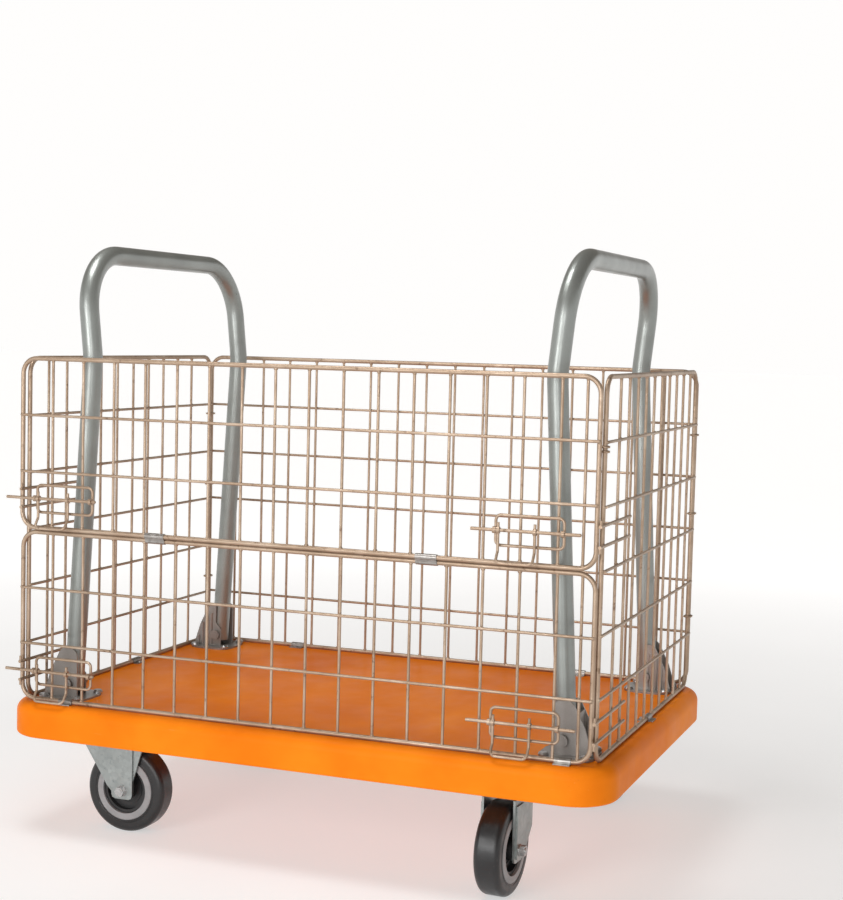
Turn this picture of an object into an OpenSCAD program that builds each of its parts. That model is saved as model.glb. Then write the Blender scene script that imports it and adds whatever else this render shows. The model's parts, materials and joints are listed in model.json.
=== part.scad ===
// Folding platform cart: a moulded deck on four casters, two folding tube handles and a wire cage.
// The origin is on the floor under the middle of the deck; X runs along the cart, -Y is the gate side.

/* [Deck] */
// Length of the deck
deck_l = 900; // [860:10:1000]
// Width of the deck
deck_w = 600; // [600:10:640]
// Height of the deck's underside above the floor
deck_z = 143; // [143:1:160]
// Thickness of the deck at its rim
deck_t = 49; // [45:1:60]
// Plan radius of the deck's corners
deck_corner_r = 60; // [50:1:70]
// Radius of the rounded top edge
deck_edge_r = 16; // [8:1:20]

/* [Casters] */
// Wheel diameter
wheel_d = 125; // [110:1:125]
// Width of the tyre
wheel_w = 36; // [30:1:36]
// Distance of the fixed casters' axles from the deck's middle along X
fixed_x = 289; // [270:1:289]
// Distance of the swivel axes from the deck's middle along X
swivel_x = 297; // [270:1:297]
// Distance of the casters from the deck's middle along Y
caster_y = 205; // [190:1:205]
// Distance from a swivel axis to its wheel's axle
trail = 38; // [30:1:38]
// Heading of the front swivel caster at rest, in degrees
swivel_front_deg = -92; // [-180:1:180]
// Heading of the back swivel caster at rest, in degrees
swivel_back_deg = 72; // [-180:1:180]

/* [Handles] */
// Diameter of the handle tube
tube_d = 28; // [25:0.5:28]
// Wall of the handle tube
tube_wall = 1.6; // [1.2:0.1:2.5]
// Distance of each handle's pivot from the deck's middle along X
pivot_x = 374; // [370:1:377]
// Distance of each upright from the deck's middle along Y
upright_y = 225; // [220:1:230]
// Height of the handle pivots above the deck
pivot_h = 22; // [21:0.5:26]
// Length of the upright below its bend
lower_l = 472; // [440:1:490]
// Length from the bend to the top bar
upper_l = 154; // [140:1:170]
// Inward lean of the uprights below the bend, in degrees
lean_deg = 3.2; // [0:0.1:5]
// Outward lean of the uprights above the bend, in degrees
kick_deg = 5.9; // [0:0.1:10]
// Centre-line radius of the top bends
top_bend_r = 86; // [60:1:110]

/* [Cage] */
// Length of the cage, between frame wire centres
cage_l = 850; // [850:1:851]
// Width of the cage, between the gate and the back panel
cage_w = 550; // [548:1:552]
// Height of the cage, between frame wire centres
cage_h = 490.5; // [486:0.5:496]
// Diameter of the frame wire
frame_d = 6.5; // [6:0.1:6.5]
// Diameter of the mesh wire
mesh_d = 4; // [3:0.1:4]
// Column pitch of the gates and the back panel
column_pitch = 50; // [50:1:51]
// Column pitch of the end panels
end_pitch = 47; // [45:0.5:47]
// How far the gates stand off towards the left of the end panels
gate_shift = 4.5; // [4.5:0.1:4.8]

/* [Latches] */
// Length of a latch guide
guide_l = 91; // [91:1:95]
// Height of a latch guide
guide_h = 39; // [38:1:42]
// Length of a latch bolt
bolt_l = 147; // [143:1:147]

/* [Hidden] */
$fn = 96;

deck_top = deck_z + deck_t;
frame_r = frame_d / 2;
mesh_r = mesh_d / 2;
rail_z = deck_top + frame_r + 0.25;
top_z = rail_z + cage_h;

// The two gates share the cage's height, with their meeting rails just apart.
gate_gap = frame_d + 0.25;
gate_h = (cage_h - gate_gap) / 2;
lower_y = -cage_w / 2;
upper_y = lower_y - 3;
upper_z = rail_z + gate_h + gate_gap;
gate_x = -gate_shift;
frame_corner_r = 22;
end_x = cage_l / 2;
end_half_w = cage_w / 2 - frame_d - 0.5;
weld = 0.4;

// Casters
wheel_r = wheel_d / 2;
axle_z = wheel_r;
axle_r = 4;
sleeve_r = 8;
hub_half = wheel_w / 2 + 1;
leg_in = hub_half + 1.5;
leg_t = 3;
leg_out = leg_in + leg_t;
plate_t = 3;
plate_l = 92;
plate_w = 90;
hole_x = 36;
hole_y = 32;
rim_r = 44.5;
hub_r = 35;
crown_top = deck_z - plate_t - 9;
crown_r = 34;

// Fasteners
m8_r = 4;
m8_nut_h = 6.5;
m8_nut_r = 7.4;
caster_screw = 30;

// Handle brackets
pivot_r = 5;
bracket_x = pivot_x + 6;
flange_t = 3;
flange_half = 38;
flange_hole = 28;
cheek_in = tube_d / 2 + 0.5;
cheek_t = 3;
pivot_z = deck_top + pivot_h;
tube_r = tube_d / 2;
tube_below = 10;

// Latches
bolt_r = 2.2;
eye_r = 4.4;
bolt_h = 43;
guide_left = 288.5;
left_guide_shift = -690;
bolt_y = lower_y - 12.7;
guide_y = lower_y - 3 - mesh_r - 0.05 - 2;
keeper_gap = 13;

module steel() { color([0.72, 0.74, 0.76]) children(); }
module zinc() { color([0.80, 0.82, 0.84]) children(); }
module wire_finish() { color([0.66, 0.55, 0.45]) children(); }

// ---------- Deck ----------

// Half section of the rim: r runs outwards, y runs up, with a rounded top edge and a small bottom round.
module rim_section(r) {
    bottom_r = 5;
    translate([0, bottom_r]) square([r, deck_t - bottom_r - deck_edge_r]);
    square([r - bottom_r, bottom_r]);
    translate([0, deck_t - deck_edge_r]) square([r - deck_edge_r, deck_edge_r]);
    translate([r - deck_edge_r, deck_t - deck_edge_r]) intersection() {
        circle(deck_edge_r);
        square(deck_edge_r);
    }
    translate([r - bottom_r, bottom_r]) intersection() {
        circle(bottom_r);
        translate([0, -bottom_r]) square(bottom_r);
    }
}

module deck_body() {
    r = deck_corner_r;
    sx = deck_l / 2 - r;
    sy = deck_w / 2 - r;
    translate([-sx, -sy, 0]) cube([2 * sx, 2 * sy, deck_t]);
    for (i = [0:3]) {
        cx = (i == 0 || i == 3) ? sx : -sx;
        cy = (i < 2) ? sy : -sy;
        translate([cx, cy, 0]) rotate([0, 0, 90 * i]) rotate_extrude(angle = 90) rim_section(r);
    }
    for (a = [0, 180]) {
        rotate([0, 0, a]) translate([sx, sy, 0]) rotate([90, 0, 0]) linear_extrude(2 * sy) rim_section(r);
        rotate([0, 0, a]) translate([-sx, sy, 0]) rotate([90, 0, 90]) linear_extrude(2 * sx) rim_section(r);
    }
}

// Underside pockets leave a grid of ribs, and solid pads over the casters and under the brackets.
pocket_nx = 11;
pocket_ny = 7;
rib = 5;
skirt = 12;
skin = 7;
pocket_px = (deck_l - 2 * skirt) / pocket_nx;
pocket_py = (deck_w - 2 * skirt) / pocket_ny;
function in_pad(x, y) =
    (abs(abs(x) - (fixed_x + swivel_x) / 2) < plate_l / 2 + 30 && abs(abs(y) - caster_y) < plate_w / 2 + 30)
    || (abs(abs(x) - bracket_x) < flange_half + 30 && abs(abs(y) - upright_y) < flange_half + 25);

module deck_pockets() {
    for (i = [0:pocket_nx - 1]) for (j = [0:pocket_ny - 1]) {
        x = (i - (pocket_nx - 1) / 2) * pocket_px;
        y = (j - (pocket_ny - 1) / 2) * pocket_py;
        if (!in_pad(x, y))
            translate([x - (pocket_px - rib) / 2, y - (pocket_py - rib) / 2, -1])
                cube([pocket_px - rib, pocket_py - rib, deck_t - skin + 1]);
    }
}

module at_caster_holes() {
    for (x = [-fixed_x, swivel_x], sy = [-1, 1], hx = [-1, 1], hy = [-1, 1])
        translate([x + hx * hole_x, sy * caster_y + hy * hole_y, 0]) children();
}

module at_bracket_holes() {
    for (sx = [-1, 1], sy = [-1, 1], hx = [-1, 1], hy = [-1, 1])
        translate([sx * bracket_x + hx * flange_hole, sy * upright_y + hy * flange_hole, 0]) children();
}

// Places along the bottom rails where a saddle clip holds the cage down: [x, y, turn].
clip_places = [
    [385, lower_y, 0], [-355, lower_y, 0],
    [250, cage_w / 2, 180], [-250, cage_w / 2, 180],
    [end_x, 15, 90], [-end_x, 30, -90]
];
clip_screw = 8.5;

module at_clips() {
    for (p = clip_places) translate([p[0], p[1], 0]) rotate([0, 0, p[2]]) children();
}

module deck() {
    color([0.95, 0.52, 0.08]) difference() {
        translate([0, 0, deck_z]) deck_body();
        translate([0, 0, deck_z]) deck_pockets();
        at_caster_holes() translate([0, 0, deck_z - 1]) cylinder(r = m8_r + 0.25, h = caster_screw + 2);
        at_bracket_holes() translate([0, 0, deck_z - 1]) cylinder(r = m8_r + 0.25, h = deck_t + 2);
        at_clips() translate([0, clip_screw, deck_top - skin - 1]) cylinder(r = 2.1, h = skin + 2);
    }
}

module pan_bolt(head_r, head_h, shank_l) {
    rotate_extrude() {
        square([head_r, head_h * 0.4]);
        polygon([[0, 0.4 * head_h], [head_r, 0.4 * head_h], [head_r * 0.75, head_h], [0, head_h]]);
    }
    translate([0, 0, -shank_l]) cylinder(r = m8_r, h = shank_l);
}

module deck_bolts() {
    steel() {
        at_caster_holes() translate([0, 0, deck_z - plate_t - 0.02]) rotate([180, 0, 0])
            pan_bolt(7, 4, plate_t + caster_screw);
        at_bracket_holes() translate([0, 0, deck_top + flange_t + 0.02]) pan_bolt(7, 4, deck_t + 12);
    }
}

module m8_nut() {
    difference() {
        cylinder(r = m8_nut_r, h = m8_nut_h, $fn = 6);
        translate([0, 0, -1]) cylinder(r = m8_r + 0.05, h = m8_nut_h + 2);
    }
}

module deck_nuts() {
    steel() at_bracket_holes() translate([0, 0, deck_z - m8_nut_h - 0.02]) m8_nut();
}

// ---------- Handle brackets ----------

// Built for the right-hand end: +X is outboard, the channel opens towards the cage.
// The cheek that faces away from the other upright (on the row side) covers the tube; the other is ribbed.
module bracket_right(row) {
    back = tube_r + 3.6;
    rib_r = 3.2;
    difference() {
        union() {
            translate([bracket_x - pivot_x, 0, 0]) linear_extrude(flange_t) rounded_square(flange_half, 24);
            cheek(row) outer_cheek();
            cheek(-row) inner_cheek();
            translate([back, -cheek_in - 0.5, 1]) cube([cheek_t, 2 * cheek_in + 1, 58]);
            for (rib_at = [[9, 57], [17, 53], [25, 41], [33, 17]])
                translate([rib_at[0], -row * (cheek_in + cheek_t - 0.8), 1])
                    cylinder(r = rib_r, h = rib_at[1]);
        }
        translate([-30, -cheek_in, flange_t]) cube([30 + back, 2 * cheek_in, 90]);
        translate([0, 0, pivot_h]) rotate([90, 0, 0]) cylinder(r = pivot_r + 0.05, h = 80, center = true);
        for (hx = [-1, 1], hy = [-1, 1])
            translate([bracket_x - pivot_x + hx * flange_hole, hy * flange_hole, -1])
                cylinder(r = m8_r + 0.25, h = flange_t + 2);
    }
}

module cheek(s) {
    translate([0, s * (cheek_in + cheek_t / 2) + cheek_t / 2, 0]) rotate([90, 0, 0])
        linear_extrude(cheek_t) children();
}

module outer_cheek() {
    translate([-3, 62]) circle(12);
    polygon([[-15, 0], [42, 0], [30, 38], [15, 68], [9, 74], [-3, 74], [-15, 62]]);
}

module inner_cheek() {
    polygon([[-9, 0], [42, 0], [30, 38], [15, 68], [9, 72], [3, 72], [0, 69], [0, 42], [-9, 32]]);
}

module rounded_square(half, r) {
    square([2 * half, 2 * (half - r)], center = true);
    square([2 * (half - r), 2 * half], center = true);
    for (x = [-1, 1], y = [-1, 1]) translate([x * (half - r), y * (half - r)]) circle(r);
}

module bracket(side, row) {
    color([0.55, 0.56, 0.57])
        mirror([side < 0 ? 1 : 0, 0, 0]) translate([pivot_x, row * upright_y, deck_top])
            bracket_right(row);
}

module pivot_pins() {
    reach = cheek_in + cheek_t;
    zinc() for (sx = [-1, 1], sy = [-1, 1]) translate([sx * pivot_x, sy * upright_y, pivot_z]) {
        rotate([90, 0, 0]) cylinder(r = pivot_r, h = 2 * reach + 13, center = true);
        for (s = [-1, 1]) translate([0, s * (reach + 4.6), 0]) rotate([90, 0, 0])
            cylinder(r = 8, h = 2.6, center = true);
    }
}

// ---------- Folding handles ----------

// One handle as a solid of radius r: two leaning uprights, a soft bend, and a U above it.
module handle_path(r) {
    kink_r = 150;
    turn = lean_deg + kick_deg;
    tangent = kink_r * tan(turn / 2);
    leg = upper_l - top_bend_r;
    // The uprights run a little way into the bends, slightly thinner, so that the two always fuse.
    run_in = 2;
    slim = 0.08;
    for (s = [-1, 1]) translate([0, s * upright_y, 0]) rotate([0, -lean_deg, 0])
        translate([0, 0, -tube_below]) cylinder(r = r - slim, h = tube_below + lower_l - tangent + run_in);
    translate([-lower_l * sin(lean_deg), 0, lower_l * cos(lean_deg)]) rotate([0, kick_deg, 0]) {
        for (s = [-1, 1]) translate([0, s * upright_y, tangent]) {
            translate([kink_r, 0, 0]) rotate([90, 0, 0]) rotate([0, 0, 180])
                rotate_extrude(angle = turn) translate([kink_r, 0]) circle(r);
            cylinder(r = r, h = leg - tangent);
        }
        for (s = [0, 1]) mirror([0, s, 0]) translate([0, upright_y - top_bend_r, leg])
            rotate([90, 0, 90]) rotate_extrude(angle = 90) translate([top_bend_r, 0]) circle(r);
        translate([0, 0, upper_l]) rotate([90, 0, 0])
            cylinder(r = r, h = 2 * (upright_y - top_bend_r), center = true);
    }
}

module handle(side) {
    color([0.58, 0.60, 0.60])
        mirror([side < 0 ? 1 : 0, 0, 0]) translate([pivot_x, 0, pivot_z]) difference() {
            handle_path(tube_r);
            handle_path(tube_r - tube_wall);
            rotate([90, 0, 0]) cylinder(r = pivot_r + 0.1, h = 3 * upright_y, center = true);
        }
}

// ---------- Wire cage ----------

// A rounded rectangle of frame wire, standing in the XZ plane from x0 to x1 and z0 to z1.
module wire_frame(x0, x1, z0, z1, r, corner) {
    for (z = [z0, z1]) translate([x0 + corner, 0, z]) rotate([0, 90, 0])
        cylinder(r = r, h = x1 - x0 - 2 * corner);
    for (x = [x0, x1]) translate([x, 0, z0 + corner]) cylinder(r = r, h = z1 - z0 - 2 * corner);
    for (i = [0:3]) {
        x = (i == 0 || i == 3) ? x1 - corner : x0 + corner;
        z = (i < 2) ? z1 - corner : z0 + corner;
        translate([x, 0, z]) rotate([90, 0, 0]) rotate([0, 0, 90 * i])
            rotate_extrude(angle = 90) translate([corner, 0]) circle(r);
    }
}

// Columns at each x in cols, with rows at each z in rows laid against their +Y side if side = 1.
module wire_mesh(x0, x1, z0, z1, cols, rows, side) {
    for (x = cols) translate([x, 0, z0]) cylinder(r = mesh_r, h = z1 - z0);
    for (z = rows) translate([x0, side * (mesh_d - weld), z]) rotate([0, 90, 0])
        cylinder(r = mesh_r, h = x1 - x0);
}

long_cols = [for (k = [1:16]) -cage_l / 2 + k * column_pitch];
gate_cols = concat(long_cols, [cage_l / 2 - 17]);
function rows(z0, h, n) = [for (k = [1:n - 1]) z0 + h * k / n];

module gate(z0) {
    wire_finish() {
        wire_frame(-cage_l / 2, cage_l / 2, z0, z0 + gate_h, frame_r, frame_corner_r);
        wire_mesh(-cage_l / 2, cage_l / 2, z0, z0 + gate_h, gate_cols, rows(z0, gate_h, 3), -1);
    }
}

module lower_gate() { translate([gate_x, lower_y, 0]) gate(rail_z); }
module upper_gate() { translate([gate_x, upper_y, 0]) gate(upper_z); }

module back_panel() {
    wire_finish() translate([0, cage_w / 2, 0]) {
        wire_frame(-cage_l / 2, cage_l / 2, rail_z, top_z, frame_r, frame_corner_r);
        wire_mesh(-cage_l / 2, cage_l / 2, rail_z, top_z, long_cols, rows(rail_z, cage_h, 6), 1);
    }
}

// A keeper is a pair of short bars that reach past the panel's front edge, above and below a latch bolt.
// Each ends in a small hook, which is a thinner stub than its bar.
module keeper(side, z) {
    bar_r = 2.2;
    hook_r = 1.8;
    x = side * (frame_r + bar_r - 2 * weld);
    front = -end_half_w - 28;
    back = -145;
    hook = 8;
    for (s = [-1, 1]) {
        translate([x, front, z + s * keeper_gap]) rotate([-90, 0, 0]) cylinder(r = bar_r, h = back - front);
        translate([x, front + 2.6, z + s * (keeper_gap + hook / 2)])
            cylinder(r = hook_r, h = hook, center = true);
    }
}

module end_panel(first_col, keep_side) {
    cols = [for (k = [0:9]) first_col + k * end_pitch];
    wire_finish() {
        rotate([0, 0, 90]) {
            wire_frame(-end_half_w, end_half_w, rail_z, top_z, frame_r, frame_corner_r);
            wire_mesh(-end_half_w, end_half_w, rail_z, top_z, cols, rows(rail_z, cage_h, 6), -keep_side);
        }
        keeper(keep_side, rail_z + bolt_h);
        keeper(keep_side, upper_z + bolt_h);
    }
}

module end_panel_left() { translate([-end_x, 0, 0]) end_panel(-221, 1); }
module end_panel_right() { translate([end_x, 0, 0]) end_panel(-196.5, 1); }

// A ring of tie wire around two upright wires that stand d apart along Y.
module tie_ring(d) {
    ring_r = frame_r + 1.65;
    for (s = [0, 1]) translate([0, s * d, 0]) rotate([0, 0, 180 + 180 * s])
        rotate_extrude(angle = 180) translate([ring_r, 0]) circle(1.6);
    if (d > 0) for (s = [-1, 1]) translate([s * ring_r, 0, 0]) rotate([-90, 0, 0]) cylinder(r = 1.6, h = d);
}

module corner_ties() {
    wire_finish() {
        for (s = [-1, 1], z = [0.22, 0.55, 0.8])
            translate([s * end_x, end_half_w, rail_z + cage_h * z]) tie_ring(cage_w / 2 - end_half_w);
        for (dz = [-3, 3]) translate([end_x, -end_half_w, rail_z + cage_h * 0.815 + dz]) tie_ring(0);
    }
}

// A saddle clip bends over the bottom rail and is screwed down on the cage's inside.
module saddle_clip() {
    t = 1.5;
    clip_w = 22;
    bore = frame_r + 0.15;
    h = rail_z - deck_top;
    rotate([90, 0, 90]) translate([0, 0, -clip_w / 2]) linear_extrude(clip_w) difference() {
        union() {
            translate([0, h]) circle(bore + t);
            translate([-bore - t, 0]) square([2 * bore + 2 * t, h]);
            translate([-bore - 7, 0]) square([bore + 10.4 + clip_screw, t]);
        }
        translate([0, h]) circle(bore);
        translate([-bore, -1]) square([2 * bore, h + 1]);
        translate([-50, -20]) square([100, 20]);
    }
}

module saddle_clips() {
    zinc() at_clips() translate([0, 0, deck_top + 0.02]) difference() {
        saddle_clip();
        translate([0, clip_screw, -1]) cylinder(r = 2.3, h = 5);
    }
}

module saddle_screws() {
    steel() at_clips() translate([0, clip_screw, deck_top + 1.55]) rotate_extrude() {
        polygon([[0, 0], [3.2, 0], [2.4, 2], [0, 2]]);
        translate([0, -7]) square([2, 7]);
    }
}

// ---------- Gate hinges ----------

// A bent strap that wraps the lower gate's top rail, and that the upper gate's bottom rail turns in.
module hinge_clip() {
    dy = upper_y - lower_y;
    dz = gate_gap;
    out = frame_r + 1.1;
    span = sqrt(dy * dy + dz * dz);
    rotate([90, 0, 90]) linear_extrude(30, center = true) difference() {
        union() {
            circle(out);
            translate([dy, dz]) circle(out);
            rotate([0, 0, atan2(dz, dy)]) translate([0, 0.4 - out]) square([span, 2 * out - 0.8]);
        }
        circle(frame_r + 0.02);
        translate([dy, dz]) circle(frame_r + 0.15);
    }
}

module hinge_clips() {
    zinc() for (x = [-207, 197.5]) translate([gate_x + x, lower_y, rail_z + gate_h]) hinge_clip();
}

// ---------- Latches ----------

// A guide is a rounded wire loop on the gate, with an eye at each end for the bolt.
module guide() {
    r = 2;
    z0 = -20;
    eye_dy = bolt_y - guide_y;
    difference() {
        union() {
            wire_frame(0, guide_l, z0, z0 + guide_h, r, 7);
            for (x = [0, guide_l]) translate([x, eye_dy, 0]) rotate([0, 90, 0])
                cylinder(r = eye_r, h = 4.4, center = true);
        }
        translate([-10, eye_dy, 0]) rotate([0, 90, 0]) cylinder(r = bolt_r + 0.15, h = guide_l + 20);
    }
}

module guides(z) {
    wire_finish() for (x = [guide_left, guide_left + left_guide_shift])
        translate([x, guide_y, z]) guide();
}

// left is the x of the bolt's left tip.
module bolt(left, z) {
    wire_finish() translate([left, bolt_y, z]) rotate([0, 90, 0]) {
        cylinder(r = bolt_r, h = bolt_l - 1);
        translate([0, 0, bolt_l - 1]) cylinder(r1 = bolt_r, r2 = bolt_r - 1, h = 1, $fn = 48);
    }
}

// The grip hangs on its bolt by two eyes: its arms run down past the guide and bend out to a cross bar.
grip_l = 49;
grip_first = 5;
grip_r = 1.9;
grip_bow_r = 1.84;
module grip(left, z) {
    slope = 34;
    bend_r = 7;
    straight = 25;
    slant = 15;
    wire_finish() translate([left, bolt_y, z]) difference() {
        union() {
            for (x = [0, grip_l]) translate([x, 0, 0]) {
                translate([-eye_r / 2, 0, 0]) rotate([0, 90, 0]) cylinder(r = eye_r, h = eye_r);
                cylinder(r = grip_r, h = 10);
                translate([0, 0, -straight]) cylinder(r = grip_r, h = straight);
                translate([0, -bend_r, -straight]) rotate([0, 0, 90]) rotate([-90, 0, 0])
                    rotate_extrude(angle = slope) translate([bend_r, 0]) circle(grip_r);
            }
            translate([0, -bend_r, -straight]) rotate([-slope, 0, 0]) translate([0, bend_r, 0])
                grip_bow(slant, bend_r);
        }
        translate([-10, 0, 0]) rotate([0, 90, 0]) cylinder(r = bolt_r + 0.12, h = grip_l + 20);
    }
}

// The grip's lower U, in its own slanted plane. It is slightly thinner and starts inside the arms' bends.
module grip_bow(depth, bend_r) {
    for (x = [0, grip_l]) translate([x, 0, -depth + bend_r])
        cylinder(r = grip_bow_r, h = depth - bend_r + 0.5);
    translate([bend_r, 0, -depth]) rotate([0, 90, 0]) cylinder(r = grip_bow_r, h = grip_l - 2 * bend_r);
    for (s = [0, 1]) translate([s * grip_l, 0, 0]) mirror([s, 0, 0])
        translate([bend_r, 0, -depth + bend_r]) rotate([90, 0, 0]) rotate([0, 0, 180])
            rotate_extrude(angle = 90) translate([bend_r, 0]) circle(grip_bow_r);
}

right_bolt_x = guide_left + 115 - bolt_l;
left_bolt_x = -deck_l / 2 + 1;
grip_x_right = guide_left + grip_first;
grip_x_left = guide_left + left_guide_shift + grip_first;

// ---------- Casters ----------

module place_fixed(row) { translate([-fixed_x, row * caster_y, 0]) children(); }
module place_swivel(row) {
    translate([swivel_x, row * caster_y, 0])
        rotate([0, 0, row < 0 ? swivel_front_deg : swivel_back_deg]) children();
}
module at_axle() { translate([trail, 0, 0]) children(); }

module mount_plate() {
    translate([0, 0, deck_z - plate_t]) difference() {
        linear_extrude(plate_t) plate_outline();
        for (x = [-hole_x, hole_x], y = [-hole_y, hole_y])
            translate([x, y, -1]) cylinder(r = m8_r + 0.3, h = plate_t + 2);
    }
}

module plate_outline() {
    r = 9;
    square([plate_l, plate_w - 2 * r], center = true);
    square([plate_l - 2 * r, plate_w], center = true);
    for (x = [-1, 1], y = [-1, 1]) translate([x * (plate_l / 2 - r), y * (plate_w / 2 - r)]) circle(r);
}

// A pair of fork legs from an outline in X and Z, with a pressed strip down each and a hole for the axle.
module legs(axle_x, strip_half, strip_top, foot) {
    strip_t = 2.4;
    difference() {
        for (s = [-1, 1]) {
            translate([0, s * (leg_in + leg_t / 2) + leg_t / 2, 0]) rotate([90, 0, 0])
                linear_extrude(leg_t) children();
            translate([axle_x, s * leg_out + strip_t, axle_z]) rotate([90, 0, 0])
                linear_extrude(2 * strip_t) foot_outline(strip_half, strip_top - axle_z, foot);
        }
        translate([axle_x, 0, axle_z]) rotate([90, 0, 0]) cylinder(r = axle_r + 0.1, h = 90, center = true);
    }
}

// An upright strip about the axle, with its two bottom corners cut off in steps.
module foot_outline(half, top, foot) {
    c = 6;
    polygon([
        [-half, top], [half, top], [half, c - foot], [half - 0.3 * c, 0.3 * c - foot], [half - c, -foot],
        [c - half, -foot], [0.3 * c - half, 0.3 * c - foot], [-half, c - foot]
    ]);
}

module fixed_fork() {
    top = deck_z - plate_t;
    foot = 12;
    half = 17;
    zinc() {
        mount_plate();
        difference() {
            legs(0, half, top - 6, foot) {
                polygon([
                    [-63, top + 1], [31, top + 1], [31, axle_z + 61], [half - 0.5, axle_z + 13],
                    [half - 0.5, axle_z - 4], [-half, axle_z - 4], [-26, axle_z + 5],
                    [-37.5, axle_z + 23], [-63, axle_z + 61]
                ]);
                translate([0, axle_z]) foot_outline(half - 0.5, 20, foot - 0.5);
            }
            translate([0, 0, axle_z + 20]) cube([200, 2 * leg_in, 200], center = true);
        }
    }
}

module swivel_fork() {
    foot = 16;
    front = trail + 16;
    rear = -15;
    top = crown_top;
    zinc() difference() {
        union() {
            translate([0, 0, top - 3]) cylinder(r = crown_r, h = 3);
            legs(trail, 12, top - 8, foot - 4) polygon([
                [rear, top], [front, top], [front, axle_z + 6 - foot], [front - 1.8, axle_z + 1.8 - foot],
                [front - 6, axle_z - foot], [trail - 12, axle_z - foot], [8, axle_z - 5],
                [rear, axle_z + 20]
            ]);
            translate([rear, -leg_out + 0.5, top - 3]) cube([crown_r - rear, 2 * leg_out - 1, 3]);
        }
        translate([0, 0, top - 10]) cylinder(r = 6.1, h = 20);
    }
}

module swivel_plate(row) {
    zinc() translate([swivel_x, row * caster_y, 0]) difference() {
        union() {
            mount_plate();
            translate([0, 0, crown_top + 3]) cylinder(r = 31, h = deck_z - plate_t - crown_top - 2.5);
        }
        translate([0, 0, crown_top - 1]) cylinder(r = 26, h = 7);
        translate([0, 0, crown_top - 1]) cylinder(r = 6.02, h = 30);
    }
}

module swivel_balls() {
    ball_r = 2.7;
    count = 18;
    steel() for (row = [-1, 1], k = [0:count - 1])
        translate([swivel_x, row * caster_y, crown_top + ball_r + 0.1])
            rotate([0, 0, k * 360 / count]) translate([22, 0, 0]) sphere(ball_r);
}

module kingpins() {
    steel() for (row = [-1, 1]) translate([swivel_x, row * caster_y, 0]) {
        translate([0, 0, crown_top - 3 - 3.2]) cylinder(r = 10, h = 3);
        translate([0, 0, crown_top - 4]) cylinder(r = 6, h = deck_z - crown_top + 3.9);
    }
}

module axle_bolt() {
    rotate([90, 0, 0]) {
        translate([0, 0, -leg_out - 3]) cylinder(r = axle_r, h = 2 * leg_out + 14);
        translate([0, 0, -leg_out - 2.5 - 5.3]) cylinder(r = m8_nut_r, h = 5.3, $fn = 6);
    }
}

module axle_nut() {
    translate([0, -leg_out - 2.5, 0]) rotate([90, 0, 0]) difference() {
        union() {
            cylinder(r = 8, h = 1.2);
            translate([0, 0, 1.2]) cylinder(r = m8_nut_r, h = m8_nut_h, $fn = 6);
        }
        translate([0, 0, -1]) cylinder(r = axle_r + 0.05, h = 12);
    }
}

module sleeve() {
    rotate([90, 0, 0]) difference() {
        cylinder(r = sleeve_r, h = 2 * leg_in - 0.1, center = true);
        cylinder(r = axle_r + 0.05, h = 80, center = true);
    }
}

module at_axle_height() { translate([0, 0, axle_z]) children(); }

module fixed_axles() { zinc() for (r = [-1, 1]) place_fixed(r) at_axle_height() facing(r) axle_bolt(); }
module fixed_axle_nuts() { zinc() for (r = [-1, 1]) place_fixed(r) at_axle_height() facing(r) axle_nut(); }
module fixed_sleeves() { steel() for (r = [-1, 1]) place_fixed(r) at_axle_height() sleeve(); }
module facing(row) { mirror([0, row > 0 ? 1 : 0, 0]) children(); }

module swivel_axle(row) { zinc() place_swivel(row) at_axle() at_axle_height() facing(-row) axle_bolt(); }
module swivel_axle_nut(row) { zinc() place_swivel(row) at_axle() at_axle_height() facing(-row) axle_nut(); }
module swivel_sleeve(row) { steel() place_swivel(row) at_axle() at_axle_height() sleeve(); }

// Wheel pieces share one axis; the tyre's shoulders are rounded.
module tyre() {
    half = wheel_w / 2;
    shoulder = 8;
    color([0.09, 0.09, 0.10]) rotate([90, 0, 0]) rotate_extrude() difference() {
        union() {
            translate([rim_r, -half]) square([wheel_r - rim_r - shoulder, wheel_w]);
            translate([rim_r, -half + shoulder]) square([wheel_r - rim_r, wheel_w - 2 * shoulder]);
            for (s = [-1, 1]) translate([wheel_r - shoulder, s * (half - shoulder)]) circle(shoulder);
        }
        for (s = [-1, 1]) translate([rim_r + 3, s * (half + 0.4)]) circle(1);
    }
}

module rim() {
    half = wheel_w / 2 + 0.8;
    color([0.66, 0.66, 0.68]) rotate([90, 0, 0]) rotate_extrude() difference() {
        translate([hub_r, -half]) square([rim_r - hub_r, 2 * half]);
        for (s = [-1, 1]) translate([rim_r, s * half]) rotate([0, 0, 45]) square(1.2, center = true);
    }
}

module hub() {
    half = wheel_w / 2 - 3;
    web = 7;
    color([0.10, 0.10, 0.11]) rotate([90, 0, 0]) rotate_extrude() {
        translate([sleeve_r + 0.1, -hub_half]) square([7, 2 * hub_half]);
        translate([sleeve_r + 0.1, -web]) square([hub_r - sleeve_r - 0.1, 2 * web]);
        translate([20, -web - 1.2]) square([3, 2 * web + 2.4]);
        translate([hub_r - 5, -half]) square([5, 2 * half]);
    }
}

module fixed_wheel(row) { place_fixed(row) at_axle_height() children(); }
module swivel_wheel(row) { place_swivel(row) at_axle() at_axle_height() children(); }

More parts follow.
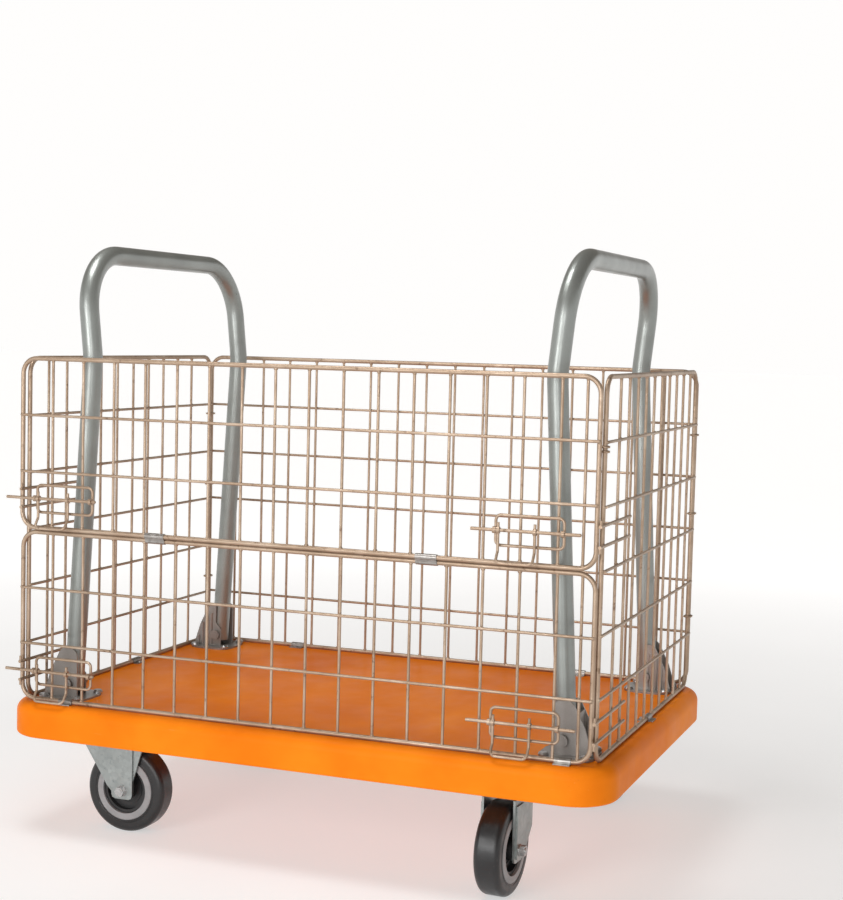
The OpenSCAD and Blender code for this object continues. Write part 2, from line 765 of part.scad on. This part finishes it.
deck();
deck_bolts();
deck_nuts();
bracket(-1, -1);  // bracket_lf
bracket(-1, 1);  // bracket_lb
bracket(1, -1);  // bracket_rf
bracket(1, 1);  // bracket_rb
pivot_pins();
handle(-1);  // handle_left
handle(1);  // handle_right
end_panel_left();
end_panel_right();
back_panel();
saddle_clips();
saddle_screws();
corner_ties();
lower_gate();
upper_gate();
hinge_clips();
guides(rail_z + bolt_h);  // guides_lower
guides(upper_z + bolt_h);  // guides_upper
bolt(left_bolt_x, upper_z + bolt_h);  // bolt_ul
bolt(right_bolt_x, upper_z + bolt_h);  // bolt_ur
bolt(left_bolt_x, rail_z + bolt_h);  // bolt_ll
bolt(right_bolt_x, rail_z + bolt_h);  // bolt_lr
grip(grip_x_left, upper_z + bolt_h);  // grip_ul
grip(grip_x_right, upper_z + bolt_h);  // grip_ur
grip(grip_x_left, rail_z + bolt_h);  // grip_ll
grip(grip_x_right, rail_z + bolt_h);  // grip_lr
place_fixed(-1) fixed_fork();  // fork_lf
place_fixed(1) fixed_fork();  // fork_lb
fixed_axles();
fixed_axle_nuts();
fixed_sleeves();
swivel_plate(-1);  // plate_rf
swivel_plate(1);  // plate_rb
swivel_balls();
kingpins();
place_swivel(-1) swivel_fork();  // fork_rf
place_swivel(1) swivel_fork();  // fork_rb
swivel_axle(-1);  // axle_rf
swivel_axle(1);  // axle_rb
swivel_axle_nut(-1);  // axle_nut_rf
swivel_axle_nut(1);  // axle_nut_rb
swivel_sleeve(-1);  // sleeve_rf
swivel_sleeve(1);  // sleeve_rb
fixed_wheel(-1) tyre();  // tyre_lf
fixed_wheel(1) tyre();  // tyre_lb
swivel_wheel(-1) tyre();  // tyre_rf
swivel_wheel(1) tyre();  // tyre_rb
fixed_wheel(-1) rim();  // rim_lf
fixed_wheel(1) rim();  // rim_lb
swivel_wheel(-1) rim();  // rim_rf
swivel_wheel(1) rim();  // rim_rb
fixed_wheel(-1) hub();  // hub_lf
fixed_wheel(1) hub();  // hub_lb
swivel_wheel(-1) hub();  // hub_rf
swivel_wheel(1) hub();  // hub_rb
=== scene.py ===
import json
import math
import random

import bmesh
import bpy
from mathutils import Matrix, Vector, noise


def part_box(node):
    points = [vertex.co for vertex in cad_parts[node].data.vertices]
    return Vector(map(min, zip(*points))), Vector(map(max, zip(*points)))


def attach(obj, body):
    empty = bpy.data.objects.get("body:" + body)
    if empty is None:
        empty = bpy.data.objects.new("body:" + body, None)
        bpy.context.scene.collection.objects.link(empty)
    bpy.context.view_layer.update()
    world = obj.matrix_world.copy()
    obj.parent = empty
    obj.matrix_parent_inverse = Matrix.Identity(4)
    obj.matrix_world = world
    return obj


# Looks of the folding platform cart: camera, materials for the CAD nodes, weld beads on the cage,
# floor, world and lights. Lengths are in metres.
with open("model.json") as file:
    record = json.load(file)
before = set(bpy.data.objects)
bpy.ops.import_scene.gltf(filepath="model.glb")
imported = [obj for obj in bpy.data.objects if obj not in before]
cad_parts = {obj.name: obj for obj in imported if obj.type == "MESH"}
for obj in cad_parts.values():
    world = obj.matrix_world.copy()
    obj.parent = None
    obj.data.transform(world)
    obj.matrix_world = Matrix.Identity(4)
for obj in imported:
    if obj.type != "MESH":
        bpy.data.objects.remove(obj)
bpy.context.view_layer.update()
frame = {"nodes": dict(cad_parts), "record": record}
nodes = frame["nodes"]
scene = bpy.context.scene


# ---------- Camera ----------

CAM_LOCATION = (0.95353, -2.27279, 0.73071)
CAM_AZIMUTH = math.radians(21.022)
CAM_ELEVATION = math.radians(4.047)
CAM_ROLL = math.radians(1.409)
CAM_LENS, CAM_SENSOR = 66.0, 36.0      # millimetres
CAM_SHIFT = (-0.0034, 0.0035)
CAM_FAR = 50.0


def add_camera():
    back = Vector((
        math.sin(CAM_AZIMUTH) * math.cos(CAM_ELEVATION),
        -math.cos(CAM_AZIMUTH) * math.cos(CAM_ELEVATION),
        math.sin(CAM_ELEVATION),
    ))
    right = (-back).cross(Vector((0, 0, 1))).normalized()
    up = right.cross(-back)
    turned_right = math.cos(CAM_ROLL) * right + math.sin(CAM_ROLL) * up
    turned_up = -math.sin(CAM_ROLL) * right + math.cos(CAM_ROLL) * up
    data = bpy.data.cameras.new("camera")
    data.sensor_width = CAM_SENSOR
    data.lens = CAM_LENS
    data.shift_x, data.shift_y = CAM_SHIFT
    data.clip_end = CAM_FAR
    camera = bpy.data.objects.new("camera", data)
    turn = Matrix((turned_right, turned_up, back)).transposed().to_4x4()
    camera.matrix_world = Matrix.Translation(CAM_LOCATION) @ turn
    scene.collection.objects.link(camera)
    scene.camera = camera


add_camera()


# ---------- Material helpers ----------

MIX_FACTOR, MIX_A, MIX_B, MIX_RESULT = 0, 6, 7, 2      # the colour sockets of a Mix node


def colour(value):
    """A number is a grey, and three numbers are linear red, green and blue."""
    if isinstance(value, (int, float)):
        return (value, value, value, 1)
    return (*value, 1)


def set_ramp(ramp, stops):
    """Each stop is a position and a colour, in order."""
    for element, (position, tone) in zip(ramp.elements, (stops[0], stops[-1])):
        element.position, element.color = position, colour(tone)
    for position, tone in stops[1:-1]:
        ramp.elements.new(position).color = colour(tone)


class Shader:
    """A material's node tree, with short calls for the few node kinds used here."""

    def __init__(self, name):
        self.material = bpy.data.materials.new(name)
        self.material.use_nodes = True
        self.tree = self.material.node_tree
        self.bsdf = self.tree.nodes["Principled BSDF"]
        self.place = self.tree.nodes.new("ShaderNodeTexCoord").outputs["Object"]

    def link(self, a, b):
        self.tree.links.new(a, b)

    def set(self, **values):
        for name, value in values.items():
            self.bsdf.inputs[name.replace("_", " ")].default_value = value

    def scaled(self, stretch):
        """The object's own coordinates, multiplied along each axis."""
        node = self.tree.nodes.new("ShaderNodeMapping")
        node.inputs["Scale"].default_value = stretch
        self.link(self.place, node.inputs["Vector"])
        return node.outputs["Vector"]

    def noise(self, scale, detail=4, rough=0.55, stretch=None):
        node = self.tree.nodes.new("ShaderNodeTexNoise")
        node.inputs["Scale"].default_value = scale
        node.inputs["Detail"].default_value = detail
        node.inputs["Roughness"].default_value = rough
        self.link(self.scaled(stretch) if stretch else self.place, node.inputs["Vector"])
        return node.outputs["Fac"]

    def cells(self, scale):
        node = self.tree.nodes.new("ShaderNodeTexVoronoi")
        node.inputs["Scale"].default_value = scale
        self.link(self.place, node.inputs["Vector"])
        return node.outputs["Color"]

    def ramp(self, value, stops):
        node = self.tree.nodes.new("ShaderNodeValToRGB")
        set_ramp(node.color_ramp, stops)
        self.link(value, node.inputs["Fac"])
        return node.outputs["Color"]

    def mix(self, factor, a, b, kind="MIX"):
        node = self.tree.nodes.new("ShaderNodeMix")
        node.data_type = "RGBA"
        node.blend_type = kind
        for index, value in ((MIX_FACTOR, factor), (MIX_A, a), (MIX_B, b)):
            if isinstance(value, bpy.types.NodeSocket):
                self.link(value, node.inputs[index])
            else:
                node.inputs[index].default_value = value if index == MIX_FACTOR else colour(value)
        return node.outputs[MIX_RESULT]

    def bump(self, height, strength, distance, below=None):
        """A normal from a height. Another bump's normal can lie below it."""
        node = self.tree.nodes.new("ShaderNodeBump")
        node.inputs["Strength"].default_value = strength
        node.inputs["Distance"].default_value = distance
        self.link(height, node.inputs["Height"])
        if below:
            self.link(below, node.inputs["Normal"])
        return node.outputs["Normal"]

    def finish(self, base, roughness=None, normal=None):
        for name, socket in (("Base Color", base), ("Roughness", roughness), ("Normal", normal)):
            if socket:
                self.link(socket, self.bsdf.inputs[name])
        return self.material


# ---------- Materials ----------

def deck_plastic(name):
    """Orange plastic with painted reflections as light and dark streaks along y, long scuff marks,
    dark specks and a fine grain.
    """
    s = Shader(name)
    # The tones below are painted reflection: light and dark streaks stretched along y.
    tones = [(0.3, (0.76, 0.165, 0.005)), (0.5, (0.86, 0.210, 0.008)), (0.7, (0.95, 0.265, 0.012))]
    base = s.ramp(s.noise(5, 4, 0.6, (1, 0.6, 1)), tones)
    marks = s.ramp(s.noise(60, 5, 0.6, (0.5, 9, 9)), [(0.66, 0.0), (0.74, 1.0)])
    base = s.mix(marks, base, s.mix(0.22, base, (0.95, 0.45, 0.15)))
    specks = s.ramp(s.noise(260, 4, 0.7), [(0.68, 0.0), (0.76, 1.0)])
    base = s.mix(specks, base, (0.55, 0.13, 0.01))
    rough = s.ramp(s.noise(18, 5, 0.6), [(0.3, 0.30), (0.7, 0.46)])
    rough = s.mix(marks, rough, 0.55)
    normal = s.bump(s.noise(14, 2), 0.25, 0.004)
    normal = s.bump(s.noise(700, 2), 0.12, 0.0004, normal)
    s.set(IOR=1.46, Specular_IOR_Level=0.035)
    return s.finish(base, rough, normal)


def metal_paint(name, dark, light, roughness, metallic):
    """Grey paint with metal flakes and small worn spots."""
    s = Shader(name)
    base = s.ramp(s.noise(9, 4), [(0.3, dark), (0.7, light)])
    flakes = s.ramp(s.cells(2600), [(0.0, 0.86), (1.0, 1.10)])
    base = s.mix(1.0, base, flakes, "MULTIPLY")
    wear = s.ramp(s.noise(75, 6, 0.65), [(0.69, 0.0), (0.73, 1.0)])
    base = s.mix(wear, base, tuple(0.6 * c for c in dark))
    rough = s.ramp(s.noise(30, 5), [(0.3, roughness - 0.06), (0.7, roughness + 0.08)])
    normal = s.bump(s.noise(420, 2), 0.06, 0.0005)
    s.set(Metallic=metallic, Coat_Weight=0.3, Coat_Roughness=0.18)
    return s.finish(base, rough, normal)


def cage_wire(name):
    """Wire in uneven brown grey, with dark stains."""
    s = Shader(name)
    tones = [(0.25, (0.31, 0.215, 0.145)), (0.5, (0.41, 0.30, 0.215)), (0.75, (0.55, 0.44, 0.34))]
    base = s.ramp(s.noise(14, 5, 0.6), tones)
    stains = s.ramp(s.noise(95, 6, 0.65), [(0.60, 0.0), (0.70, 1.0)])
    base = s.mix(stains, base, (0.20, 0.125, 0.08))
    rough = s.ramp(s.noise(160, 4), [(0.3, 0.34), (0.7, 0.54)])
    normal = s.bump(s.noise(900, 3), 0.18, 0.0003)
    s.set(Metallic=0.6)
    return s.finish(base, rough, normal)


def plated(name, dark, light, roughness, spangle):
    """Zinc or steel. A higher spangle is a finer pattern of patches."""
    s = Shader(name)
    patches = s.ramp(s.cells(spangle), [(0.0, dark), (1.0, light)])
    clouds = s.ramp(s.noise(25, 4), [(0.3, 0.82), (0.7, 1.08)])
    base = s.mix(1.0, patches, clouds, "MULTIPLY")
    stains = s.ramp(s.noise(120, 6, 0.65), [(0.64, 0.0), (0.74, 1.0)])
    base = s.mix(stains, base, tuple(0.45 * c for c in dark))
    rough = s.ramp(s.noise(90, 5), [(0.3, roughness - 0.08), (0.7, roughness + 0.1)])
    normal = s.bump(s.noise(500, 3), 0.12, 0.0004)
    s.set(Metallic=0.9)
    return s.finish(base, rough, normal)


def moulded(name, dark, light, roughness, grain_scale, grain, coat):
    """Rubber or plastic with some dust."""
    s = Shader(name)
    base = s.ramp(s.noise(40, 4), [(0.3, dark), (0.7, light)])
    dust = s.ramp(s.noise(220, 5, 0.7), [(0.60, 0.0), (0.76, 1.0)])
    base = s.mix(dust, base, s.mix(0.12, light, (0.30, 0.28, 0.25)))
    rough = s.ramp(s.noise(60, 4), [(0.3, roughness - 0.06), (0.7, roughness + 0.12)])
    normal = s.bump(s.noise(grain_scale, 3), grain, 0.0004)
    s.set(Coat_Weight=coat, Coat_Roughness=0.2)
    return s.finish(base, rough, normal)


# slot, kind, values of the kind
MATERIALS = (
    ("deck_plastic", deck_plastic, ()),
    ("handle_paint", metal_paint, ((0.235, 0.25, 0.238), (0.305, 0.325, 0.31), 0.36, 0.62)),
    ("bracket_paint", metal_paint, ((0.23, 0.21, 0.195), (0.31, 0.29, 0.27), 0.42, 0.45)),
    ("cage_wire", cage_wire, ()),
    ("zinc", plated, ((0.30, 0.325, 0.32), (0.385, 0.415, 0.41), 0.36, 190)),
    ("clip_steel", plated, ((0.28, 0.26, 0.24), (0.42, 0.40, 0.38), 0.38, 260)),
    ("fastener", plated, ((0.42, 0.42, 0.42), (0.56, 0.56, 0.56), 0.30, 500)),
    ("tyre", moulded, ((0.006, 0.006, 0.007), (0.012, 0.012, 0.013), 0.36, 600, 0.25, 0.15)),
    ("wheel_rim", moulded, ((0.24, 0.24, 0.245), (0.32, 0.32, 0.33), 0.45, 500, 0.15, 0.0)),
    ("wheel_hub", moulded, ((0.008, 0.008, 0.009), (0.018, 0.018, 0.019), 0.42, 700, 0.2, 0.1)),
)
materials = {name: kind(name, *values) for name, kind, values in MATERIALS}
for part in frame["record"]["subparts"]:
    mesh = nodes[part["node"]].data
    mesh.materials.clear()
    mesh.materials.append(materials[part["material_slot"]])


# ---------- Weld beads ----------

FRAME_WIRE_R = 0.00325
CROSSING_OUT = 0.0018        # from the columns' plane towards the rows, where a column meets a row
SIDE_OUT = 0.0022            # the same, where a row meets a side of the frame wire
CROSSING_BEAD_R = 0.0027
END_BEAD_R = 0.0028
LONG_PITCH, LONG_COUNT = 0.05, 16      # columns of the gates and of the back panel
LAST_GAP = 0.017                       # a gate's extra column, from its right frame wire
END_PITCH, END_COUNT = 0.047, 10       # columns of the end panels
LEFT_FIRST, RIGHT_FIRST = -0.221, -0.1965
UNEVEN, LUMPS = 0.25, 2.2              # how strong and how fine the swelling of a bead is
rng = random.Random(7)


def bead(bm, centre, radius):
    """A small uneven lump of weld metal."""
    lump = bmesh.ops.create_icosphere(bm, subdivisions=2, radius=1)["verts"]
    turn = Matrix.Rotation(rng.uniform(0, math.tau), 3, "Z")
    offset = Vector((rng.uniform(0, 50), rng.uniform(0, 50), 0))
    size = Vector([radius * rng.uniform(0.85, 1.15) for _ in range(3)])
    for v in lump:
        swell = 1 + UNEVEN * noise.noise(v.co * LUMPS + offset)
        v.co = turn @ Vector([v.co[i] * size[i] * swell for i in range(3)]) + Vector(centre)


def add_piece(name, bm, material):
    """An object that holds the mesh and has one material."""
    mesh = bpy.data.meshes.new(name)
    bm.to_mesh(mesh)
    bm.free()
    mesh.materials.append(material)
    piece = bpy.data.objects.new(name, mesh)
    scene.collection.objects.link(piece)
    return piece


def weld_beads(name, body, centres, radius):
    bm = bmesh.new()
    for centre in centres:
        bead(bm, centre, radius)
    piece = add_piece(name, bm, materials["cage_wire"])
    piece.data.shade_smooth()
    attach(piece, body)


def panel_beads(name, body, columns, row_count, end_panel, rows_side):
    """Beads where the columns of a panel cross its rows, and where both meet its frame wires.

    The columns run straight up. An end panel spans y, and the others span x. rows_side is 1 or -1,
    for the side of the columns that the rows lie on.
    """
    low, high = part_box(name)
    z0, z1 = low.z + FRAME_WIRE_R, high.z - FRAME_WIRE_R
    row_heights = [z0 + (z1 - z0) * k / row_count for k in range(1, row_count)]
    if end_panel:
        plane = low.x + FRAME_WIRE_R
        a0, a1 = -high.y + FRAME_WIRE_R, high.y - FRAME_WIRE_R
    else:
        plane = (low.y + FRAME_WIRE_R) if rows_side > 0 else (high.y - FRAME_WIRE_R)
        a0, a1 = low.x + FRAME_WIRE_R, high.x - FRAME_WIRE_R

    def at(along, off, z):
        return (plane + off, along, z) if end_panel else (along, plane + off, z)

    crossings = [at(a, CROSSING_OUT * rows_side, z) for a in columns(a0, a1) for z in row_heights]
    crossings += [at(a, SIDE_OUT * rows_side, z) for a in (a0, a1) for z in row_heights]
    weld_beads(name + "_crossings", body, crossings, CROSSING_BEAD_R)
    ends = [at(a, 0, z) for a in columns(a0, a1) for z in (z0 + FRAME_WIRE_R, z1 - FRAME_WIRE_R)]
    weld_beads(name + "_ends", body, ends, END_BEAD_R)


def spaced(first, pitch, count):
    return [first + pitch * k for k in range(count)]


def back_columns(a0, a1):
    return spaced(a0 + LONG_PITCH, LONG_PITCH, LONG_COUNT)


def gate_columns(a0, a1):
    return back_columns(a0, a1) + [a1 - LAST_GAP]


def left_columns(a0, a1):
    return spaced(LEFT_FIRST, END_PITCH, END_COUNT)


def right_columns(a0, a1):
    return spaced(RIGHT_FIRST, END_PITCH, END_COUNT)


panel_beads("lower_gate", "lower_gate", gate_columns, 3, False, -1)
panel_beads("upper_gate", "upper_gate", gate_columns, 3, False, -1)
panel_beads("back_panel", "chassis", back_columns, 6, False, 1)
panel_beads("end_panel_left", "chassis", left_columns, 6, True, 1)
panel_beads("end_panel_right", "chassis", right_columns, 6, True, 1)


# ---------- Floor, world and lights ----------

FLOOR_HALF = 40
GLOW_SCALE = 0.35                        # the glow's gradient ends 1 / GLOW_SCALE from the cart
GLOW = [(0.0, 0.86), (0.75, 0.50)]       # strength from far away to near the cart
WORLD = [(0.20, (1, 0.99, 0.98)), (0.30, (0.19, 0.165, 0.14))]    # by height: white, then dark

# name, location, target, width and height, watts
LIGHTS = (
    ("key", (-0.7, -3.4, 1.15), (0, 0, 0.3), (1.3, 1.6), 44),
    ("top", (-0.4, -0.5, 2.3), (-0.2, 0, 0.2), (1.0, 0.8), 21),
    ("fill", (1.0, -3.4, 0.9), (0.2, 0, 0.3), (0.7, 1.4), 15),
)


def add_floor():
    """A pale matt floor that glows, more with distance, so that it fades into the white world. Its
    glow lights the cart from below like a lamp, and is weaker near the cart, so less light falls
    on the cart and the floor around it is darker.
    """
    s = Shader("floor")
    base = s.ramp(s.noise(3, 3), [(0.3, 0.52), (0.7, 0.56)])
    glow = s.tree.nodes.new("ShaderNodeTexGradient")
    glow.gradient_type = "SPHERICAL"
    s.link(s.scaled((GLOW_SCALE, GLOW_SCALE, GLOW_SCALE)), glow.inputs["Vector"])
    s.link(s.ramp(glow.outputs["Color"], GLOW), s.bsdf.inputs["Emission Strength"])
    s.set(Roughness=0.8, Specular_IOR_Level=0.1, Emission_Color=(1, 1, 1, 1))
    bm = bmesh.new()
    bmesh.ops.create_grid(bm, x_segments=2, y_segments=2, size=FLOOR_HALF)
    floor = add_piece("floor", bm, s.finish(base))


def add_light(name, location, target, size, power):
    data = bpy.data.lights.new(name, "AREA")
    data.shape = "RECTANGLE"
    data.size, data.size_y = size
    data.energy = power
    light = bpy.data.objects.new(name, data)
    light.location = location
    light.rotation_euler = (Vector(target) - Vector(location)).to_track_quat("-Z", "Y").to_euler()
    scene.collection.objects.link(light)


def add_world():
    world = bpy.data.worlds.new("studio")
    world.use_nodes = True
    scene.world = world
    tree = world.node_tree
    place = tree.nodes.new("ShaderNodeTexCoord")
    split = tree.nodes.new("ShaderNodeSeparateXYZ")
    ramp = tree.nodes.new("ShaderNodeValToRGB")
    set_ramp(ramp.color_ramp, WORLD)
    tree.links.new(place.outputs["Generated"], split.inputs["Vector"])
    tree.links.new(split.outputs["Z"], ramp.inputs["Fac"])
    tree.links.new(ramp.outputs["Color"], tree.nodes["Background"].inputs["Color"])


scene.view_settings.view_transform = "Standard"
add_floor()
add_world()
for light_row in LIGHTS:
    add_light(*light_row)
